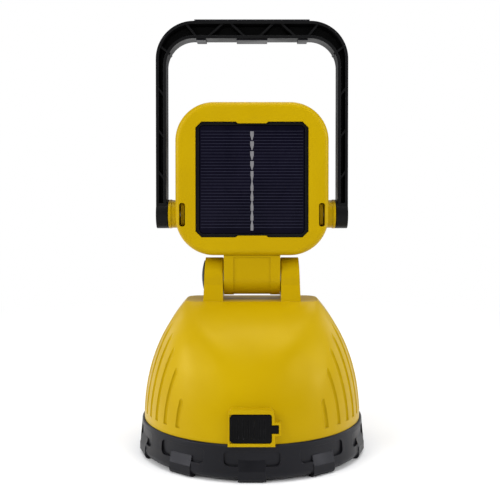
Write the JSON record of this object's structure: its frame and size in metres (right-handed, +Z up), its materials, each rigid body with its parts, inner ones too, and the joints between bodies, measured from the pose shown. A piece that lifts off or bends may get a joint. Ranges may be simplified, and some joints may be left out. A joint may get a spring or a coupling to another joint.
{
  "type": "solar lantern",
  "caption": "Solar work lantern: domed base with a downward spotlight, a folding floodlight head with a solar panel on its back, and a swing handle.",
  "frame": {"origin": "centre of the bumper's footprint, on the surface the lantern stands on", "axes": "+Z up, -Y towards the solar panel and charging port, +Y towards the floodlight lens, +X along the hinge pin away from the release button"},
  "size_m": [0.16, 0.16, 0.3052],
  "materials": {
    "yellow_plastic": "moulded ABS, satin",
    "black_plastic": "moulded nylon, fine texture",
    "black_rubber": "soft moulded rubber, satin",
    "solar_glass": "dark laminate over silicon",
    "clear_lens": "clear polycarbonate",
    "reflector": "bright metallised plastic",
    "circuit_board": "solder mask",
    "white_board": "white solder mask",
    "led": "phosphor",
    "steel": "zinc plated",
    "aluminium": "as extruded",
    "cell_wrap": "shrink wrap",
    "grey_plastic": "moulded",
    "brass": "nickel strip"
  },
  "bodies": {
    "base": {"base_shell": "yellow_plastic", "bumper_ring": "black_rubber", "bezel_ring": "black_plastic", "spot_lens": "clear_lens", "lens_gasket": "black_rubber", "spot_reflector": "reflector", "spot_led_board": "white_board", "spot_led": "led", "spot_heat_sink": "aluminium", "base_screws": "steel", "charge_board": "circuit_board", "usb_a_socket": "steel", "usb_c_socket": "steel", "battery_cradle": "grey_plastic", "battery_cell_rear": "cell_wrap", "battery_cell_front": "cell_wrap", "battery_contacts": "brass", "cradle_screws": "steel", "hinge_pin": "steel", "friction_washers": "steel", "ear_cap": "yellow_plastic", "release_spring": "steel"},
    "head": {"neck_bracket": "yellow_plastic", "neck_screws": "steel", "head_rear_shell": "yellow_plastic", "head_front_bezel": "yellow_plastic", "head_screws": "steel", "head_gasket": "black_rubber", "solar_tray": "black_plastic", "solar_panel": "solar_glass", "flood_lens": "clear_lens", "flood_reflector": "reflector", "flood_led_board": "white_board", "flood_leds": "led", "control_board": "circuit_board", "tactile_switch": "black_plastic", "indicator_light": "clear_lens", "retaining_clips": "yellow_plastic"},
    "handle": {"handle_frame": "black_plastic", "grip_cover": "black_rubber", "pivot_pins": "steel", "pivot_washers": "black_plastic"},
    "power_button": {"power_button": "black_rubber"},
    "release_button": {"release_button": "black_plastic"},
    "port_cover": {"port_cover": "black_rubber"}
  },
  "joints": [
    {"name": "head_tilt", "type": "hinge", "parent": "base", "child": "head", "pos_m": [0, 0, 0.1222], "axis": [1, 0, 0], "range_deg": [-85, 85]},
    {"name": "handle_swing", "type": "hinge", "parent": "head", "child": "handle", "pos_m": [0, 0, 0.1669], "axis": [-1, 0, 0], "range_deg": [-120, 120]},
    {"name": "port_cover_hinge", "type": "hinge", "parent": "base", "child": "port_cover", "pos_m": [-0.0135, -0.0794, 0.0343], "axis": [0, 0, -1], "range_deg": [0, 120]},
    {"name": "power_press", "type": "slide", "parent": "head", "child": "power_button", "axis": [0, -1, 0], "range_m": [0, 0.0008], "stiffness_N_per_m": 1500},
    {"name": "release_press", "type": "slide", "parent": "base", "child": "release_button", "axis": [1, 0, 0], "range_m": [0, 0.002], "stiffness_N_per_m": 1500, "deforming": ["release_spring"]}
  ]
}
